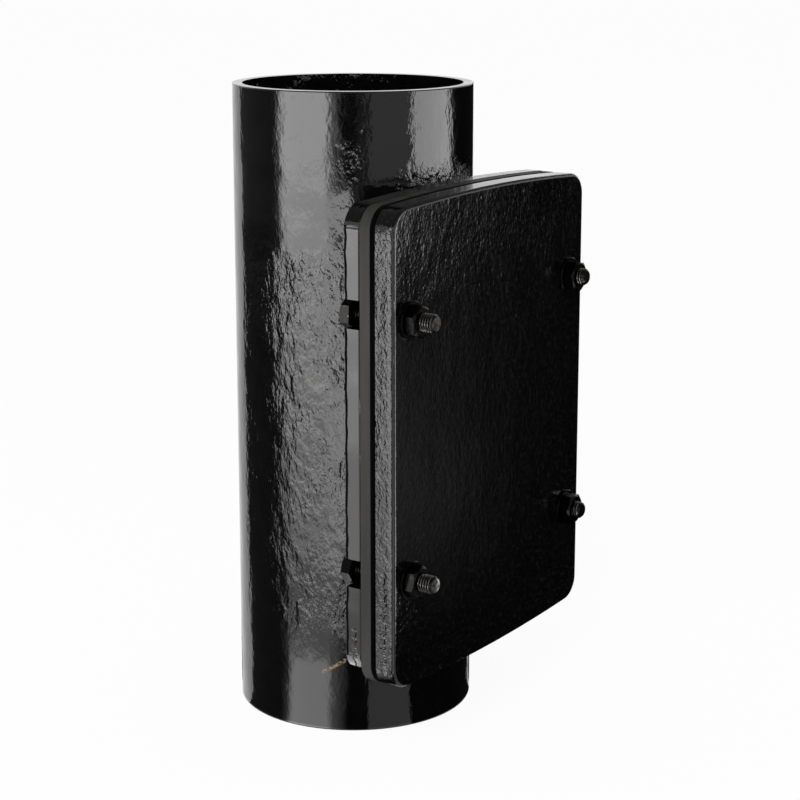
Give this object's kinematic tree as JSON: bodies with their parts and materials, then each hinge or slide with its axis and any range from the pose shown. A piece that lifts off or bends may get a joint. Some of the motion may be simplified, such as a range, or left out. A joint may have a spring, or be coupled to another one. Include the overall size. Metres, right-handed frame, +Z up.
{
  "type": "cast iron soil access pipe",
  "caption": "Short plain-ended cast iron soil pipe with a bolted, gasketed rectangular access door on its side, coated gloss black.",
  "frame": {"origin": "centre of the pipe's lower end", "axes": "+Z up along the pipe's axis, the door faces -Y"},
  "size_m": [0.157, 0.145, 0.292],
  "materials": {
    "coated_casting": "gloss black coating over as-cast iron",
    "coated_cover": "gloss black coating over as-cast iron",
    "gasket_rubber": "satin, cut from sheet",
    "fastener_steel": "dark oxide over steel"
  },
  "bodies": {
    "root": {"access_pipe": "coated_casting", "door_cover": "coated_cover", "door_gasket": "gasket_rubber", "bolt_upper_left": "fastener_steel", "bolt_upper_right": "fastener_steel", "bolt_lower_left": "fastener_steel", "bolt_lower_right": "fastener_steel", "washer_upper_left": "fastener_steel", "washer_upper_right": "fastener_steel", "washer_lower_left": "fastener_steel", "washer_lower_right": "fastener_steel", "nut_upper_left": "fastener_steel", "nut_upper_right": "fastener_steel", "nut_lower_left": "fastener_steel", "nut_lower_right": "fastener_steel"}
  },
  "joints": []
}
